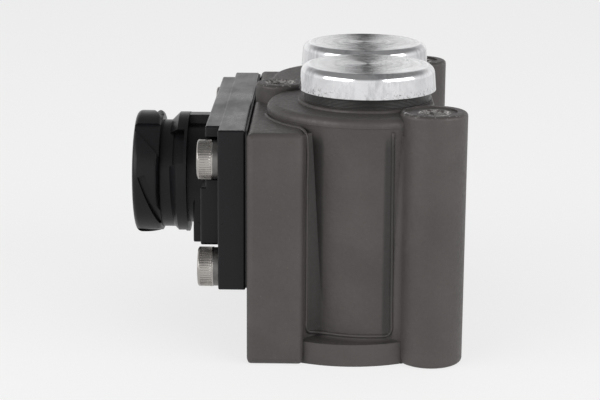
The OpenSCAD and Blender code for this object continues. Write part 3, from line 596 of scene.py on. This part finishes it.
def in_groove(centre, normal):
    """Every second strip of the band between the cuts."""
    turn = math.degrees(math.atan2(centre.z, centre.y)) % 360
    strip = int(turn / (360 / HEAD_SIDES))
    return abs(normal.x) < 0.1 and KNURL_FROM < centre.x < KNURL_TO and strip % 2 == 0


def on_face(centre, normal):
    return normal.x < -0.9


def on_seat(centre, normal):
    return normal.x > 0.9 and centre.x > -SEAT_NEAR


def shape_head(screw):
    """Sinks the grooves of the knurl, chamfers the rim and draws out the shank."""
    pick_faces(screw, in_groove)
    bpy.ops.mesh.extrude_region_shrink_fatten(TRANSFORM_OT_shrink_fatten={"value": -KNURL_DEPTH})
    bpy.ops.object.mode_set(mode="OBJECT")
    pick_faces(screw, on_face)
    bpy.ops.mesh.inset(thickness=RIM_WIDTH, depth=0.0)
    bpy.ops.object.mode_set(mode="OBJECT")
    for vertex in screw.data.vertices:
        outer = Vector(vertex.co.yz).length > HEAD_R - EDGE_NEAR
        if outer and vertex.co.x < HEAD_FACE_X + FACE_NEAR:
            vertex.co.x += RIM_DROP
    pick_faces(screw, on_seat)
    bpy.ops.mesh.inset(thickness=HEAD_R - SHANK_R, depth=0.0)
    bpy.ops.mesh.extrude_region_move(TRANSFORM_OT_translate={"value": (SHANK_L, 0, 0)})
    bpy.ops.object.mode_set(mode="OBJECT")


def cut_key(screw):
    """Cuts the hexagon socket, with a flat bottom."""
    bpy.ops.object.select_all(action="DESELECT")
    bpy.ops.mesh.primitive_cylinder_add(
        vertices=6, radius=KEY_R, depth=2 * KEY_DEPTH, location=(HEAD_FACE_X, 0, 0), rotation=ALONG_X)
    key = bpy.context.object
    bpy.ops.object.transform_apply(location=True, rotation=True, scale=True)
    pick_only(screw)
    socket = screw.modifiers.new("socket", "BOOLEAN")
    socket.operation = "DIFFERENCE"
    socket.object = key
    bpy.ops.object.modifier_apply(modifier=socket.name)
    bpy.data.objects.remove(key)


def make_screw():
    """Socket screw along X with its seat at the origin: knurled head, chamfered rim, hexagon, shank."""
    screw = screw_head()
    shape_head(screw)
    cut_key(screw)
    edge = screw.modifiers.new("edge", "BEVEL")
    edge.width = EDGE_ROUND
    edge.segments = 2
    edge.limit_method = "ANGLE"
    edge.angle_limit = EDGE_ABOVE
    bpy.ops.object.modifier_apply(modifier=edge.name)
    bpy.ops.object.shade_smooth_by_angle(angle=SMOOTH_BELOW)
    return screw


def fit_screws():
    first = make_screw()
    for side, y in (("front", -SCREW_Y), ("rear", SCREW_Y)):
        for level, z in (("lower", LOWER_SCREW_Z), ("upper", UPPER_SCREW_Z)):
            screw = first.copy()
            screw.data = first.data.copy()
            screw.name = f"{level}_{side}_cover_screw"
            screw.data.transform(Matrix.Translation((SCREW_SEAT_X, y, z)))
            bpy.context.scene.collection.objects.link(screw)
            finish_piece(screw, "screw_steel")
            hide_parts("housing_screws")
    bpy.data.objects.remove(first)


# Springs from merged copies of their solids, moving with the housing


def fit_spring(node):
    """Replaces one spring by a merged, smoothed copy of its solid that moves with the housing."""
    spring = nodes[node].copy()
    spring.data = nodes[node].data.copy()
    spring.parent = None
    spring.matrix_world = Matrix.Identity(4)
    spring.name = f"{node}_coil"
    for key in list(spring.keys()):
        del spring[key]
    bpy.context.scene.collection.objects.link(spring)
    pick_only(spring)
    merge_all()
    bpy.ops.object.mode_set(mode="OBJECT")
    bpy.ops.object.shade_smooth_by_angle(angle=SMOOTH_BELOW)
    finish_piece(spring, "spring_steel")
    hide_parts(node)
    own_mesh(spring)


def fit_springs():
    for side in ("front", "rear"):
        fit_spring(f"{side}_return_spring")
        fit_spring(f"{side}_armature_spring")


# Studio: pale floor, two wide side lamps and a long lens

VIEW_TARGET = Vector((-3.0 * MM, 0.0, 42.1 * MM))
VIEW_DISTANCE = 454 * MM
VIEW_HEIGHT_DEG = 12.68
VIEW_TURN_DEG = 1.40
VIEW_ROLL_DEG = -0.24
LENS_MM = 99.7
FILM_MM = 36
NEAR_CLIP = 10 * MM
IMAGE_W = 600
IMAGE_H = 400
LENS_CENTRE_PX = (284.75, 161.55)


def make_camera():
    height = math.radians(VIEW_HEIGHT_DEG)
    turn = math.radians(VIEW_TURN_DEG)
    back = Vector((math.sin(turn) * math.cos(height), -math.cos(turn) * math.cos(height), math.sin(height)))
    right = Vector((math.cos(turn), math.sin(turn), 0.0))
    up = back.cross(right)
    lens = bpy.data.cameras.new("view")
    lens.lens = LENS_MM
    lens.sensor_width = FILM_MM
    lens.clip_start = NEAR_CLIP
    lens.shift_x = (IMAGE_W / 2 - LENS_CENTRE_PX[0]) / IMAGE_W
    lens.shift_y = (LENS_CENTRE_PX[1] - IMAGE_H / 2) / IMAGE_W
    camera = bpy.data.objects.new("view", lens)
    bpy.context.scene.collection.objects.link(camera)
    axes = Matrix((right, up, back)).transposed().to_4x4()
    roll = Matrix.Rotation(math.radians(-VIEW_ROLL_DEG), 4, "Z")
    camera.matrix_world = Matrix.Translation(VIEW_TARGET + back * VIEW_DISTANCE) @ axes @ roll
    bpy.context.scene.camera = camera


LAMP_AIM = (0, 0, 0.04)
LAMP_SIZE = (0.8, 0.4)


def soft_lamp(name, place, watts):
    light = bpy.data.lights.new(name, "AREA")
    light.shape = "RECTANGLE"
    light.size, light.size_y = LAMP_SIZE
    light.energy = watts
    lamp = bpy.data.objects.new(name, light)
    bpy.context.scene.collection.objects.link(lamp)
    lamp.location = place
    lamp.rotation_euler = (Vector(LAMP_AIM) - Vector(place)).to_track_quat("-Z", "Y").to_euler()


def ray_kinds(graph):
    """1 for camera rays, and 1 for glossy and transmission rays."""
    paths = graph.tree.nodes.new("ShaderNodeLightPath")
    names = ("Is Camera Ray", "Is Glossy Ray", "Is Transmission Ray")
    camera, glossy, through = [Socket(graph, paths.outputs[name]) for name in names]
    return camera, glossy.most(through)


# Heights and places here are parts of a direction's length: the dome dims upwards, the slit lies behind
SKY_LIGHT = 0.42
ZENITH_LEVEL = 0.28
DOME_DIMS = (0.2, 0.7)
SLIT_AT = 0.023
SLIT_HALF = 0.0105
SLIT_DEPTH = 0.92
SLIT_EDGE = (SLIT_HALF * 0.5, SLIT_HALF * 1.7)
SLIT_BEHIND = (0.2, 0.4)


def make_world():
    """White to the camera, a low even light, and in reflections a soft dome with one dark slit."""
    world = bpy.data.worlds.new("studio")
    bpy.context.scene.world = world
    world.use_nodes = True
    graph = Graph(world.node_tree)
    sky = graph.tree.nodes["Background"]
    sky.inputs["Color"].default_value = (1, 1, 1, 1)
    camera, mirrored = ray_kinds(graph)
    direction = graph.tree.nodes.new("ShaderNodeSeparateXYZ")
    graph.feed(direction.inputs[0], graph.node("ShaderNodeTexCoord", output="Generated"))
    across, away, height = [Socket(graph, out) for out in direction.outputs]
    dome = graph.ramp(height, *DOME_DIMS, 1.0, ZENITH_LEVEL)
    slit = graph.ramp(abs(across - SLIT_AT), *SLIT_EDGE, SLIT_DEPTH, 0.0)
    slit = slit * graph.ramp(away, *SLIT_BEHIND)
    level = camera + mirrored * dome * (1 - slit) + (1 - camera.most(mirrored)) * SKY_LIGHT
    graph.feed(sky.inputs["Strength"], level)


FLOOR_SIZE = 4.0
FLOOR_GLOW = 0.72
PAPER_TONE = (0.85, 0.85, 0.85, 1)
PAPER_ROUGHNESS = 0.9


def make_floor():
    bpy.ops.object.select_all(action="DESELECT")
    bpy.ops.mesh.primitive_plane_add(size=FLOOR_SIZE, location=(0, 0, 0))
    floor = bpy.context.object
    floor.name = "floor"
    paper = bpy.data.materials.new("floor_paper")
    paper.use_nodes = True
    graph = Graph(paper.node_tree)
    surface = graph.tree.nodes["Principled BSDF"]
    surface.inputs["Base Color"].default_value = PAPER_TONE
    surface.inputs["Roughness"].default_value = PAPER_ROUGHNESS
    glow = graph.tree.nodes.new("ShaderNodeEmission")
    glow.inputs["Color"].default_value = (1, 1, 1, 1)
    camera, mirrored = ray_kinds(graph)
    blend = graph.tree.nodes.new("ShaderNodeMixShader")
    graph.feed(blend.inputs[0], camera.most(mirrored) * FLOOR_GLOW)
    graph.tree.links.new(surface.outputs[0], blend.inputs[1])
    graph.tree.links.new(glow.outputs[0], blend.inputs[2])
    graph.tree.links.new(blend.outputs[0], graph.tree.nodes["Material Output"].inputs["Surface"])
    floor.data.materials.append(paper)


make_camera()
make_world()
make_floor()
soft_lamp("left_lamp", (-0.62, -0.46, 0.36), 3.2)
soft_lamp("right_lamp", (0.62, -0.42, 0.36), 3.0)
dress_nodes()
skin_casting()
fit_screws()
fit_springs()

bpy.context.scene.view_settings.view_transform = "Standard"
